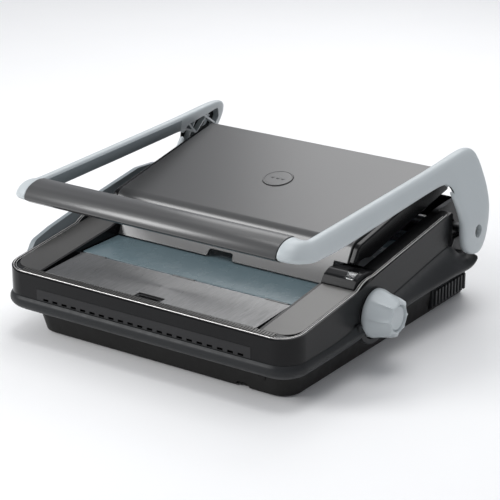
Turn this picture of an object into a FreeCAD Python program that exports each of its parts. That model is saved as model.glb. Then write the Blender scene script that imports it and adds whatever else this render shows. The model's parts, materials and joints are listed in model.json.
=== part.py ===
import FreeCAD, Part
import math
import os
from FreeCAD import Vector

# Desktop comb binding machine: it punches a row of slots in A4 sheets and opens plastic combs.
# Millimetres, +Z up.  While it is being built, X = 0 is the middle of the machine, Y = 0 is the
# front face and Z = 0 is the table.  Every piece is shifted at the end, so that the origin is
# the bottom centre of the whole machine.

# ---- driving dimensions -----------------------------------------------------------------------
PITCH = 14.2875            # pitch of a plastic comb
SLOT_COUNT = 21            # slots along an A4 sheet
PIN_W, PIN_T = 8.0, 3.0    # one punched slot
GAP = 0.3                  # working gap between pieces that move past each other

BODY_HALF = 212.0          # upper casing, half width
BODY_REAR = 440.0          # rear face of the upper casing
CORNER_R = 30.0            # front corners in plan
WALL = 3.0                 # plastic wall
BAND_BOTTOM = 57.0         # lower edge of the black front band
DECK_Z0, DECK_SLOPE = 88.2, 0.12          # deck height is DECK_Z0 + DECK_SLOPE * y
RECESS_HALF = 159.0        # binding recess, half width
RECESS_FRONT = 13.0
DECK_END = 139.5           # right deck ends at the window housing

BASE_HALF, BASE_FRONT, BASE_REAR = 186.0, 35.0, 448.0
BASE_TOP = 34.0
RIM_Z = 1.5                # the base wall hangs this far above the table

PIVOT_Y, PIVOT_Z = 394.5, 108.0           # handle axis
SHAFT_R = 6.0
HANDLE_LIFT = 72.0         # degrees
ARM_T = 14.5               # arm plate thickness
# outer face of an arm, (x, z): upright beside the pivot, and leaning inward above it
ARM_FACE = [(231, 60), (231, 115), (228.5, 130), (222.5, 146), (215.5, 160), (209.5, 172), (204.5, 185),
            (200, 201), (196, 215)]
SHAFT_END = 222.0
BAR_HALF = 180.8           # crossbar, half length

LID_HALF = 175.0
LID_FRONT, LID_FRONT_Z = 159.0, 94.6
LID_BEND, LID_BEND_Z = 186.0, 143.5
LID_REAR, LID_REAR_Z = 391.5, 182.4
LIP_HALF, LID_CORNER_Z = 157.0, 121.0     # the lid's front lip drops between the recess walls
HINGE_Y, HINGE_Z = 403.0, 151.0           # lid hinge axis

KNOB_Y, KNOB_Z, KNOB_X = 172.5, 69.0, 213.0
BEZEL_R = 31.3             # round plate behind the knob
TRAY_X = 157.0
FLAP_HALF, FLAP_PIN_Y, FLAP_PIN_Z = 154.0, 86.3, 91.3

PUNCH_Y = 389.0            # row of punch pins
CAM_R, CAM_OFFSET = 11.0, 7.5
CAM_START = math.radians(54.0)
CAM_LOW = PIVOT_Z - CAM_R - CAM_OFFSET * math.cos(CAM_START)
STROKE = CAM_OFFSET * (math.cos(CAM_START) - math.cos(CAM_START + math.radians(HANDLE_LIFT)))

FRAME_X = 176.0            # inner face of a steel side frame
FRAME_T = 2.5

nodes = {}


# ---- helpers ----------------------------------------------------------------------------------
def box(x0, x1, y0, y1, z0, z1):
    return Part.makeBox(x1 - x0, y1 - y0, z1 - z0, Vector(x0, y0, z0))


def along_x(y, z, r, x0, x1):
    return Part.makeCylinder(r, x1 - x0, Vector(x0, y, z), Vector(1, 0, 0))


def along_y(x, z, r, y0, y1):
    return Part.makeCylinder(r, y1 - y0, Vector(x, y0, z), Vector(0, 1, 0))


def along_z(x, y, r, z0, z1):
    return Part.makeCylinder(r, z1 - z0, Vector(x, y, z0), Vector(0, 0, 1))


def wire(points, place):
    """Closed outline; a point is (a, b) or (a, b, corner radius)."""
    count = len(points)
    flat = [Vector(p[0], p[1], 0) for p in points]
    edges = []
    starts, ends, mids = [], [], []
    for i, point in enumerate(points):
        here, before, after = flat[i], flat[i - 1], flat[(i + 1) % count]
        radius = point[2] if len(point) > 2 else 0.0
        to_before, to_after = (before - here).normalize(), (after - here).normalize()
        if radius <= 0:
            starts.append(here)
            ends.append(here)
            mids.append(None)
            continue
        half = math.acos(max(-1.0, min(1.0, to_before.dot(to_after)))) / 2
        reach = radius / math.tan(half)
        centre = here + (to_before + to_after).normalize() * (radius / math.sin(half))
        starts.append(here + to_before * reach)
        ends.append(here + to_after * reach)
        mids.append(centre + (here - centre).normalize() * radius)
    for i in range(count):
        if mids[i] is not None:
            arc = Part.Arc(place(starts[i]), place(mids[i]), place(ends[i]))
            edges.append(arc.toShape())
        line_from, line_to = place(ends[i]), place(starts[(i + 1) % count])
        if (line_to - line_from).Length > 1e-6:
            edges.append(Part.LineSegment(line_from, line_to).toShape())
    return Part.Wire(edges)


def side_profile(points, x0, x1):
    """Outline in (y, z), extruded along X."""
    outline = wire(points, lambda p: Vector(x0, p.x, p.y))
    return Part.Face(outline).extrude(Vector(x1 - x0, 0, 0))


def plan(points, z0, z1):
    """Outline in (x, y), extruded along Z."""
    outline = wire(points, lambda p: Vector(p.x, p.y, z0))
    return Part.Face(outline).extrude(Vector(0, 0, z1 - z0))


def front_profile(points, y0, y1):
    """Outline in (x, z), extruded along Y."""
    outline = wire(points, lambda p: Vector(p.x, y0, p.y))
    return Part.Face(outline).extrude(Vector(0, y1 - y0, 0))


def rounded_box(half, y0, y1, front_r, rear_r, z0, z1):
    corners = [(-half, y0, front_r), (half, y0, front_r), (half, y1, rear_r), (-half, y1, rear_r)]
    return plan(corners, z0, z1)


def mirrored(shape):
    return shape.mirror(Vector(0, 0, 0), Vector(1, 0, 0))


def fused(shapes):
    return shapes[0].multiFuse(shapes[1:]).removeSplitter() if len(shapes) > 1 else shapes[0]


def group(shapes):
    return Part.makeCompound(shapes)


def deck_z(y):
    return DECK_Z0 + DECK_SLOPE * y


def slot_positions():
    first = -(SLOT_COUNT - 1) / 2
    return [(first + i) * PITCH for i in range(SLOT_COUNT)]


def add(name, shape):
    nodes[name] = shape


# ---- lower casing -----------------------------------------------------------------------------
TRAY_Y0, TRAY_Y1 = 353.0, 437.0           # chip tray
TRAY_Z0, TRAY_Z1 = 8.0, 33.0
PLUG_X, PLUG_Z = 152.0, 24.0
NOTCH_X0, NOTCH_X1 = 110.0, 132.0


def base_wall(inset):
    """Drafted solid of the base, or of its hollow when it is inset by the wall."""
    top_z = 66.0
    spread = 5.0 * (top_z - RIM_Z) / (BASE_TOP - RIM_Z)

    def ring(grow, z):
        half, front, rear = BASE_HALF + grow - inset, BASE_FRONT - 1.6 * grow + inset, BASE_REAR - inset
        corners = [(-half, front, 24), (half, front, 24), (half, rear, 12), (-half, rear, 12)]
        return wire(corners, lambda p: Vector(p.x, p.y, z))

    return Part.makeLoft([ring(0, RIM_Z), ring(spread, top_z)], True, True)


def make_lower_casing():
    tub = base_wall(0).cut(base_wall(2.5))
    rising = [(-10, 0), (-10, BASE_TOP), (110, BASE_TOP), (175, 38), (240, 45), (310, 50), (374, 55), (460, 57),
              (460, 0)]
    tub = tub.common(side_profile(rising, -220, 220))
    tub = tub.cut(box(150, 220, TRAY_Y0 - 1.5, TRAY_Y1 + 1.5, 5, TRAY_Z1 + 1.5))
    tub = tub.cut(along_y(PLUG_X, PLUG_Z, 4.6, 0, 60))
    arch = front_profile([(NOTCH_X0, -5), (NOTCH_X1, -5), (NOTCH_X1 - 3, 7, 4), (NOTCH_X0 + 3, 7, 4)], 0, 60)
    add("base_tub", tub.cut(arch))
    add("front_plug", along_y(PLUG_X, PLUG_Z, 4.5, 29.6, 35.5))
    floor = rounded_box(BASE_HALF - 3.2, BASE_FRONT + 3.2, BASE_REAR - 3.2, 21, 9, 2.2, 4.2)
    feet, screws = [], []
    for x in (-160, 160):
        for y in (70, 410):
            floor = floor.cut(along_z(x, y, 3.0, 0, 6))
            feet.append(along_z(x, y, 11, 0, 2.2).fuse(along_z(x, y, 2.9, 2.2, 6)))
    for x in (-120, 120):
        for y in (60, 330):
            floor = floor.cut(along_z(x, y, 2.0, 0, 6))
            screws.append(along_z(x, y, 3.6, 1.0, 2.2).fuse(along_z(x, y, 1.9, 2.2, 12)))
    add("base_plate", floor)
    add("rubber_feet", group(feet))
    add("base_screws", group(screws))


# ---- middle casing: the grey belt and the wings that flare out under the handle ------------------
# wall section of the front belt: how far it stands out from the band, and its height from the seam
BELT = [(-2.0, 0.0), (1.0, 0.0), (3.6, -4.0), (4.2, -9.0), (1.5, -16.0), (-5.0, -21.5), (-16.0, -25.0),
        (-16.0, -22.5), (-6.5, -19.0), (-1.0, -14.0), (0.8, -8.0)]
# along the sides: y, seam height, lip x, lip height, height of the inner ledge
WING = [(CORNER_R, 57.0, 216.2, 48.0, 32.0), (100, 57.5, 216.4, 48.5, 33.0), (170, 68.5, 217.0, 52.0, 37.5),
        (240, 79.8, 219.0, 57.5, 44.5), (310, 91.4, 224.5, 63.0, 50.0), (352, 97.6, 228.0, 65.5, 53.0),
        # from here the top edge dips under the round foot of the leg
        (363, 92.0, 228.7, 65.0, 53.4), (370, 84.8, 229.0, 64.6, 53.8), (378, 78.8, 229.3, 64.3, 54.4),
        (386, 75.2, 229.5, 64.0, 55.0), (394, 74.0, 229.5, 65.0, 55.4), (404, 74.4, 229.5, 69.0, 56.0)]
WING_END = 404.0
LEDGE_X = 196.0
LEG_SWEEP_X = 198.5        # the leg of the handle swings down outside this


def wing_waist(y, seam, lip_x, lip_z):
    """Middle point of the wing's slope: it bulges at the front and is hollow towards the rear."""
    belly = 1.2 - 4.7 * min(1.0, max(0.0, (y - 100) / 250))
    return (2 * (BODY_HALF + 1) + lip_x) / 3 + belly, (seam + lip_z) / 2 + 3.2


def wing_section(y, seam, lip_x, lip_z, ledge_z):
    top_x = BODY_HALF + 1
    outer = [(BODY_HALF - 2, seam), (top_x, seam), wing_waist(y, seam, lip_x, lip_z),
             (lip_x, lip_z + 3), (lip_x, lip_z - 3), (lip_x - 6, lip_z - 8), (LEDGE_X, ledge_z)]
    inner = [(LEDGE_X, ledge_z + 2.5), (lip_x - 7, lip_z - 5), (lip_x - 3, lip_z - 1), (top_x - 3, seam - 4)]
    return wire(outer + inner, lambda p: Vector(p.x, y, p.y))


def wing_block():
    """The right wing filled solid, to seat a piece on it."""
    wires = []
    for y, seam, lip_x, lip_z, ledge_z in WING:
        top_x = BODY_HALF + 1
        outline = [(BODY_HALF - 2, seam), (top_x, seam), wing_waist(y, seam, lip_x, lip_z),
                   (lip_x, lip_z + 3), (lip_x, lip_z - 3), (LEDGE_X, ledge_z)]
        wires.append(wire(outline, lambda p, y=y: Vector(p.x, y, p.y)))
    return Part.makeLoft(wires, True, True)


def make_middle_casing():
    straight_x = BODY_HALF - CORNER_R

    def belt_face(x):
        return Part.Face(wire([(-out, BAND_BOTTOM + down) for out, down in BELT], lambda p: Vector(x, p.x, p.y)))

    front = belt_face(-straight_x).extrude(Vector(2 * straight_x, 0, 0))
    corner = belt_face(straight_x).revolve(Vector(straight_x, CORNER_R, 0), Vector(0, 0, 1), 90)
    side = Part.makeLoft([wing_section(*station) for station in WING], True, True)
    # behind the side panel the casing steps in and makes a shelf under the handle
    shelf = box(192.5, BODY_HALF, 352, 443, 89.5, 92).cut(box(LEG_SWEEP_X, 240, PIVOT_Y, 460, 63, 200))
    wall = box(LEDGE_X, LEG_SWEEP_X, 352, 446, 56, 92)
    wing_end = wing_block().common(box(LEDGE_X, 240, WING_END - 2.5, WING_END, 50, 90))
    lobe = along_x(KNOB_Y, KNOB_Z, 38, 206, 215).cut(along_x(KNOB_Y, KNOB_Z, 31.5, 200, 230))
    lobe = lobe.cut(side_profile([(90, 57), (122, 61.0), (233, 78.7), (233, 140), (90, 140)], 200, 230))
    half = fused([corner, side, shelf, wall, wing_end, lobe])
    half = half.cut(along_x(KNOB_Y, KNOB_Z, BEZEL_R + 0.2, 205, 240))
    rear = box(-LEG_SWEEP_X, LEG_SWEEP_X, 443, 446, 57.5, 92)
    add("mid_casing", fused([front, half, mirrored(half), rear]))


# ---- upper casing: black band, deck frame, side panels and rear ---------------------------------
def top_line(drop):
    return [(0, 86.5 - drop), (3, deck_z(3) - drop), (DECK_END, deck_z(DECK_END) - drop), (177, 112 - drop),
            (352, 138 - drop), (408, 141 - drop)]


def seam_line():
    return [(352, 98.0), (317, 93.0), (233, 79.0), (122, 61.3), (90, BAND_BOTTOM + 0.3), (-6, BAND_BOTTOM + 0.3)]


def make_upper_casing():
    outer = rounded_box(BODY_HALF, 0, BODY_REAR, CORNER_R, 12, 40, 170)
    envelope = [(-6, 86.5)] + top_line(0) + [(446, 122), (446, 92.5), (352.3, 92.5)] + seam_line()
    casing = outer.common(side_profile(envelope, -230, 230))
    hollow = rounded_box(BODY_HALF - WALL, WALL, BODY_REAR - WALL, CORNER_R - WALL, 9, 30, 170)
    inner = [(-6, 83.5)] + top_line(WALL) + [(446, 119), (446, 30), (-6, 30)]
    hollow = hollow.common(side_profile(inner, -230, 230))
    for side in (-1, 1):
        x0, x1 = sorted((side * 192, side * 240))
        casing = casing.cut(box(x0, x1, 352, 460, 20, 200))
        x0, x1 = sorted((side * 189, side * 240))
        hollow = hollow.cut(box(x0, x1, 349, 460, 20, 200))
    casing = casing.cut(hollow)
    casing = casing.cut(box(-RECESS_HALF, RECESS_HALF, RECESS_FRONT, 200, 60, 200))
    casing = casing.cut(box(-186, 186, 192, 408, 80, 200))
    casing = casing.cut(box(-199, 199, 192, 350, 80, 200))
    walls = []
    for x0 in (-RECESS_HALF - 2.5, RECESS_HALF):
        walls.append(side_profile([(10.5, 64), (10.5, deck_z(10.5) - 1), (191, deck_z(191) - 1), (191, 64)],
                                  x0, x0 + 2.5))
    front_wall = box(-RECESS_HALF, RECESS_HALF, 10.5, RECESS_FRONT, 64, deck_z(10.5) - 1)
    casing = fused([casing, front_wall] + walls)
    # pockets for the deck inlays and the window housing
    for x0, x1, y1 in ((-206, -162, 183), (162, 206, DECK_END)):
        pocket = [(13.5, deck_z(13.5) - 1.2), (y1, deck_z(y1) - 1.2), (y1, 200), (13.5, 200)]
        casing = casing.cut(side_profile(pocket, x0, x1))
    casing = casing.cut(box(RECESS_HALF, 202, DECK_END, 191, 80, 200))
    casing = casing.cut(along_x(KNOB_Y, KNOB_Z, BEZEL_R + 0.2, 200, 230))
    casing = casing.cut(along_x(PIVOT_Y, PIVOT_Z, 9, -230, 230))
    casing = casing.cut(box(-157, 157, -2, 1.2, BAND_BOTTOM + 0.3, 71.8))
    for x in slot_positions():
        casing = casing.cut(box(x - PIN_W / 2, x + PIN_W / 2, -1, 12, 58.2, 61.2))
    groove = rim_ring().common(side_profile(rim_band(), -230, 230))
    add("upper_casing", casing.cut(groove))


def rim_ring():
    """Plan ring just inside the top edge of the casing."""
    outer = rounded_box(BODY_HALF - 1.4, 1.4, 300, CORNER_R - 1.4, 5, 60, 150)
    inner = rounded_box(BODY_HALF - 3.6, 3.6, 310, CORNER_R - 3.6, 5, 50, 160)
    return outer.cut(inner).common(box(-230, 230, -5, DECK_END - 1, 50, 160))


def rim_band():
    return [(-5, deck_z(-5) - 1.2), (DECK_END, deck_z(DECK_END) - 1.2), (DECK_END, deck_z(DECK_END) + 4),
            (-5, deck_z(-5) + 4)]


def make_deck():
    bead = [(-5, deck_z(-5) - 1.2), (DECK_END, deck_z(DECK_END) - 1.2), (DECK_END, deck_z(DECK_END) + 0.5),
            (-5, deck_z(-5) + 0.5)]
    add("edge_trim", rim_ring().common(side_profile(bead, -230, 230)))
    for name, side, y1 in (("deck_inlay_left", -1, 182.8), ("deck_inlay_right", 1, DECK_END - 0.2)):
        slab = side_profile([(13.7, deck_z(13.7) - 1.2), (y1, deck_z(y1) - 1.2), (y1, deck_z(y1) + 0.2),
                             (13.7, deck_z(13.7) + 0.2)], -230, 230)
        corners = [(side * 162.2, 13.7), (side * 205.8, 13.7, 22), (side * 205.8, y1), (side * 162.2, y1)]
        add(name, slab.common(plan(corners, 60, 150)))
    strip = side_profile([(4.4, deck_z(4.4)), (12.6, deck_z(12.6)), (12.6, deck_z(12.6) + 0.5),
                          (4.4, deck_z(4.4) + 0.5)], -184, 184)
    ribs = [box(x - 0.7, x + 0.7, 5, 12, 80, 110) for x in range(-182, 183, 4)]
    rib_band = side_profile([(5, deck_z(5)), (12, deck_z(12)), (12, deck_z(12) + 1.1), (5, deck_z(5) + 1.1)],
                            -184, 184)
    add("grip_strip", strip.fuse(rib_band.common(group(ribs))).removeSplitter())
    plate = box(-156.7, 156.7, -0.3, 1.2, BAND_BOTTOM + 0.6, 71.5)
    for x in slot_positions():
        plate = plate.cut(box(x - PIN_W / 2, x + PIN_W / 2, -1, 3, 58.2, 61.2))
    add("slot_plate", plate)


def make_window():
    hump = [(DECK_END + 0.2, deck_z(DECK_END) - 4), (DECK_END + 0.2, deck_z(DECK_END) + 1, 3), (149, 115, 8),
            (166, 118.5, 12), (190, 112.5, 3), (190, deck_z(DECK_END) - 4)]
    housing = side_profile(hump, RECESS_HALF + 0.3, 201.7)
    bore = side_profile([(142.5, 90), (142.5, 105), (151, 112.5, 6), (166, 115.5, 9), (187, 110), (187, 90)],
                        162, 199)
    housing = housing.cut(bore)
    window = box(187, 199.5, 147, 163, 90, 130)
    add("window_housing", housing.cut(window))
    lens = side_profile([(147.2, 104), (147.2, 113.2), (162.8, 118.0), (162.8, 104)], 187.2, 199.3)
    add("window_lens", lens)


def make_left_cover():
    outline = [(48, 60), (52, 84, 10), (66, 103, 14), (96, 111.5, 30), (186, 128.5, 40), (274, 142, 30),
               (312, 139, 20), (346, 118, 8), (349, 101)]
    shell = side_profile(outline + [(351, 93.5), (317, 88), (233, 74), (122, 56.5), (100, 53), (48, 53)],
                         -222, -212.2)
    shell = shell.cut(mirrored(wing_block())).cut(nodes["mid_casing"])
    inside = [(52, 62), (56, 83, 8), (69, 100, 12), (97, 108.5, 28), (186, 125.5, 38), (274, 139, 28),
              (310, 136, 18), (342, 116, 6), (346, 103), (317, 97), (233, 82.5), (122, 65), (56, 62)]
    shell = shell.cut(side_profile(inside, -219.5, -205))
    add("left_side_cover", shell)


# ---- paper tray, flap and comb station ------------------------------------------------------------
def make_tray_and_flap():
    tray = [(89.2, 86), (89.2, 93.0, 1.2), (161, 93.0), (372.5, 81.0), (372.5, 79.2), (161, 91.2), (91.2, 91.2),
            (91.2, 86)]
    add("paper_tray", side_profile(tray, -TRAY_X, TRAY_X))
    slope = [(13.9, 88.0), (13.9, 89.8, 1), (83.5, 93.4), (83.5, 90.9), (16.4, 87.4), (16.4, 84), (13.9, 84)]
    plate = side_profile(slope, -FLAP_HALF, FLAP_HALF)
    plate = plate.cut(box(-19, 19, 10, 25, 80, 95))
    for x0, x1 in ((-150, -118), (-16, 16), (118, 150)):
        knuckle = along_x(FLAP_PIN_Y, FLAP_PIN_Z, 2.4, x0, x1).fuse(box(x0, x1, 82, 85.5, 90.4, 92.6))
        plate = plate.fuse(knuckle).cut(along_x(FLAP_PIN_Y, FLAP_PIN_Z, 1.28, x0 - 1, x1 + 1))
    add("front_flap", plate.removeSplitter())
    add("flap_hinge_pin", along_x(FLAP_PIN_Y, FLAP_PIN_Z, 1.2, -RECESS_HALF + 0.1, RECESS_HALF - 0.1))
    latch = side_profile([(14.2, 84), (14.2, 89.6, 1.5), (21.3, 90.2, 1.0), (21.3, 84)], -18.5, 18.5)
    add("flap_latch", latch.cut(box(-14, 14, 16.2, 19.4, 87, 95)))


def make_comb_station():
    bed = box(-152, 152, 18, 80, 58, 60)
    for x in (-140, 137):
        bed = bed.fuse(box(x, x + 3, 40, 78, 4.2, 58))
    pins = [box(-150, 150, 50, 54, 60, 63)]
    for x in slot_positions():
        pins.append(box(x - 1.5, x + 1.5, 51, 52.6, 63, 79))
    add("comb_bed", bed.removeSplitter())
    add("comb_pins", fused(pins))
    hooks = [box(-150, 150, 34, 38, 60.3, 64)]
    for x in slot_positions():
        hooks.append(box(x - 4.5, x - 3.0, 35, 36.6, 64, 79).fuse(box(x - 4.5, x - 3.0, 31, 36.6, 77.4, 79)))
    add("comb_puller", fused(hooks))


# ---- punch mechanism -----------------------------------------------------------------------------
DIE_Z0, DIE_Z1 = 76.0, 80.5
GUIDE_Z0, GUIDE_Z1 = 83.0, 85.6
BAR_TOP = CAM_LOW - 0.4
BAR_BOTTOM = 86.1
PLATE_Y0, PLATE_Y1 = 374.0, 404.0


def make_punch():
    die = box(-FRAME_X, FRAME_X, PLATE_Y0, PLATE_Y1, DIE_Z0, DIE_Z1)
    guide = box(-FRAME_X, FRAME_X, PLATE_Y0 + 4, PLATE_Y1, GUIDE_Z0, GUIDE_Z1)
    bar = box(-160, 160, PUNCH_Y - 8, PUNCH_Y + 8, BAR_BOTTOM, BAR_TOP)
    pins = []
    for x in slot_positions():
        hole = box(x - PIN_W / 2 - GAP, x + PIN_W / 2 + GAP, PUNCH_Y - PIN_T / 2 - GAP,
                   PUNCH_Y + PIN_T / 2 + GAP, 70, 90)
        die, guide = die.cut(hole), guide.cut(hole)
        pins.append(box(x - PIN_W / 2, x + PIN_W / 2, PUNCH_Y - PIN_T / 2, PUNCH_Y + PIN_T / 2,
                        DIE_Z0 - 1.5, BAR_BOTTOM))
    for x in (-168, 168):
        for y in (380, 398):
            die, guide = die.cut(along_z(x, y, 2.5, 70, 90)), guide.cut(along_z(x, y, 2.5, 70, 90))
    add("die_plate", die)
    add("pin_guide_plate", guide)
    spacers = []
    for x0, bolt_x in ((-171, -168), (161, 168)):
        spacer = box(x0, x0 + 10, PLATE_Y0 + 6, PLATE_Y1, DIE_Z1, GUIDE_Z0)
        for y in (380, 398):
            spacer = spacer.cut(along_z(bolt_x, y, 2.5, 70, 90))
        spacers.append(spacer)
    add("throat_spacers", group(spacers))
    bolts = []
    for x in (-168, 168):
        for y in (380, 398):
            shank, head = along_z(x, y, 2.45, DIE_Z0 - 3, GUIDE_Z1), along_z(x, y, 4, GUIDE_Z1, GUIDE_Z1 + 2.5)
            bolts.append(shank.fuse(head))
    add("die_bolts", group(bolts))
    add("pressure_bar", bar)
    add("punch_pins", group(pins))
    chute = [box(-160, 160, PLATE_Y0 + 2, PLATE_Y0 + 3.5, 36, DIE_Z0), box(-160, 160, 403, 404.5, 36, DIE_Z0)]
    chute += [box(x, x + 1.5, PLATE_Y0 + 2, 404.5, 36, DIE_Z0) for x in (-160, 158.5)]
    add("chip_chute", fused(chute))


def make_frames():
    outline = [(150, 30), (430, 30), (430, 126, 10), (362, 126, 10), (330, 104), (175, 84), (150, 84)]
    for name, x0 in (("side_frame_left", -FRAME_X - FRAME_T), ("side_frame_right", FRAME_X)):
        frame = side_profile(outline, x0, x0 + FRAME_T)
        frame = frame.cut(along_x(PIVOT_Y, PIVOT_Z, 9, x0 - 1, x0 + 4))
        frame = frame.cut(box(x0 - 1, x0 + 4, TRAY_Y0 - 1.5, TRAY_Y1 + 1.5, 0, 35))
        for y, z in ((200, 50), (415, 62)):
            frame = frame.cut(along_x(y, z, 4, x0 - 1, x0 + 4))
        if x0 > 0:
            frame = frame.cut(along_x(KNOB_Y, KNOB_Z, 5, x0 - 1, x0 + 4))
        for y in (220, 300):
            frame = frame.cut(side_profile([(y, 50, 8), (y + 55, 50, 8), (y + 55, 80, 8), (y, 72, 8)],
                                           x0 - 1, x0 + 4))
        add(name, frame)
    rods = []
    for y, z in ((200, 50), (415, 62)):
        rod = along_x(y, z, 3.9, -FRAME_X - FRAME_T - 3, FRAME_X + FRAME_T + 3)
        for x0 in (-FRAME_X - FRAME_T - 3, FRAME_X + FRAME_T):
            rod = rod.fuse(along_x(y, z, 6, x0, x0 + 3))
        rods.append(rod)
    add("tie_rods", group(rods))
    bushes = []
    for x0 in (-FRAME_X - FRAME_T - 2, FRAME_X - 4):
        body = along_x(PIVOT_Y, PIVOT_Z, 9, x0, x0 + 8.5)
        bushes.append(body.cut(along_x(PIVOT_Y, PIVOT_Z, SHAFT_R + 0.06, x0 - 1, x0 + 10)))
    add("pivot_bushes", group(bushes))


# ---- handle --------------------------------------------------------------------------------------
BAR_PROFILE = [(10, 176.5, 3), (17, 189, 8), (36, 196, 12), (52, 193, 7), (57, 181, 7), (46, 172, 8), (22, 171, 6)]


def arm_slab(depth0, depth1):
    """Leaning slab between two depths under the arm's outer face, on the right."""
    outer = [(x - depth0, z) for x, z in ARM_FACE]
    inner = [(x - depth1, z) for x, z in reversed(ARM_FACE)]
    return front_profile(outer + inner, -20, 470)


def arm_outline():
    return [(24, 168, 8), (96, 165.5), (347, 177, 13), (364, 150, 20), (364, PIVOT_Z - 31, 30.4),
            (425.5, PIVOT_Z - 31, 30.4), (426, 116, 20), (441, 148, 30), (442, 182, 24), (425, 203, 9), (58, 189),
            (40, 188)]


def make_arm(side):
    arm = side_profile(arm_outline(), 170, 250).common(arm_slab(0, ARM_T))
    corner = side_profile(BAR_PROFILE, BAR_HALF, 206).common(
        plan([(150, 0), (206, 0, 25), (206, 80), (150, 80)], 150, 210))
    arm = arm.fuse(corner).removeSplitter()
    # the back of the elbow and the leg is open and ribbed
    pocket_outline = [(352, 183, 4), (420, 194, 6), (427, 176, 8), (419, 136, 6), (370, 136, 4), (369, 150, 6)]
    pocket = side_profile(pocket_outline, 170, 250).common(arm_slab(4, ARM_T + 5))
    ribs = []
    for y0, z0, y1, z1 in ((350, 176, 428, 150), (372, 192, 372, 130), (400, 198, 378, 132), (352, 190, 424, 132)):
        across = Vector(0, y1 - y0, z1 - z0)
        offset = Vector(0, -across.z, across.y).normalize() * 1.1
        corners = [(y0 + offset.y, z0 + offset.z), (y1 + offset.y, z1 + offset.z), (y1 - offset.y, z1 - offset.z),
                   (y0 - offset.y, z0 - offset.z)]
        ribs.append(side_profile(corners, 170, 250))
    pocket = pocket.cut(fused(ribs))
    arm = arm.cut(pocket)
    arm = arm.cut(along_x(PIVOT_Y, PIVOT_Z, SHAFT_R, 200, 240))
    arm = arm.cut(along_x(PIVOT_Y, PIVOT_Z, 8.5, SHAFT_END, 240))
    plate_outline = [(60, 168, 3), (345, 180, 3), (352, 194, 3), (60, 184, 3)]
    seat = side_profile(plate_outline, 170, 250).common(arm_slab(ARM_T - 1.2, ARM_T + 8))
    arm = arm.cut(seat)
    insert = side_profile(plate_outline, 170, 250).common(arm_slab(ARM_T - 1.2, ARM_T))
    return (arm, insert) if side > 0 else (mirrored(arm), mirrored(insert))


def make_handle():
    for side, word in ((1, "right"), (-1, "left")):
        arm, insert = make_arm(side)
        add("arm_" + word, arm)
        add("arm_insert_" + word, insert)
    bar = side_profile(BAR_PROFILE, -BAR_HALF, BAR_HALF)
    tube_y, tube_z = 35.0, 183.5
    bar = bar.cut(along_x(tube_y, tube_z, 8.0, -200, 200))
    upper = bar.common(side_profile([(0, 176.6), (70, 181), (70, 220), (0, 220)], -200, 200))
    lower = bar.cut(side_profile([(0, 176.6), (70, 181), (70, 220), (0, 220)], -200, 200))
    add("crossbar_upper", upper)
    add("crossbar_lower", lower)
    tube = along_x(tube_y, tube_z, 8.0, -BAR_HALF, BAR_HALF)
    add("crossbar_tube", tube.cut(along_x(tube_y, tube_z, 6.5, -200, 200)))
    add("drive_shaft", along_x(PIVOT_Y, PIVOT_Z, SHAFT_R, -SHAFT_END, SHAFT_END))
    centre_y = PIVOT_Y - CAM_OFFSET * math.sin(CAM_START)
    centre_z = PIVOT_Z - CAM_OFFSET * math.cos(CAM_START)
    cams = []
    for x in (-120, 110):
        lobe = along_x(centre_y, centre_z, CAM_R, x, x + 10)
        lobe = lobe.cut(along_x(PIVOT_Y, PIVOT_Z, SHAFT_R, x - 1, x + 11))
        cams.append(lobe)
    add("shaft_cams", group(cams))
    head = along_x(PIVOT_Y, PIVOT_Z, 6.5, SHAFT_END, SHAFT_END + 3.5)
    cross = box(SHAFT_END + 1.5, 240, PIVOT_Y - 0.8, PIVOT_Y + 0.8, PIVOT_Z - 3, PIVOT_Z + 3)
    cross = cross.fuse(box(SHAFT_END + 1.5, 240, PIVOT_Y - 3, PIVOT_Y + 3, PIVOT_Z - 0.8, PIVOT_Z + 0.8))
    screw = head.cut(cross)
    add("pivot_screws", group([screw, mirrored(screw)]))


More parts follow.
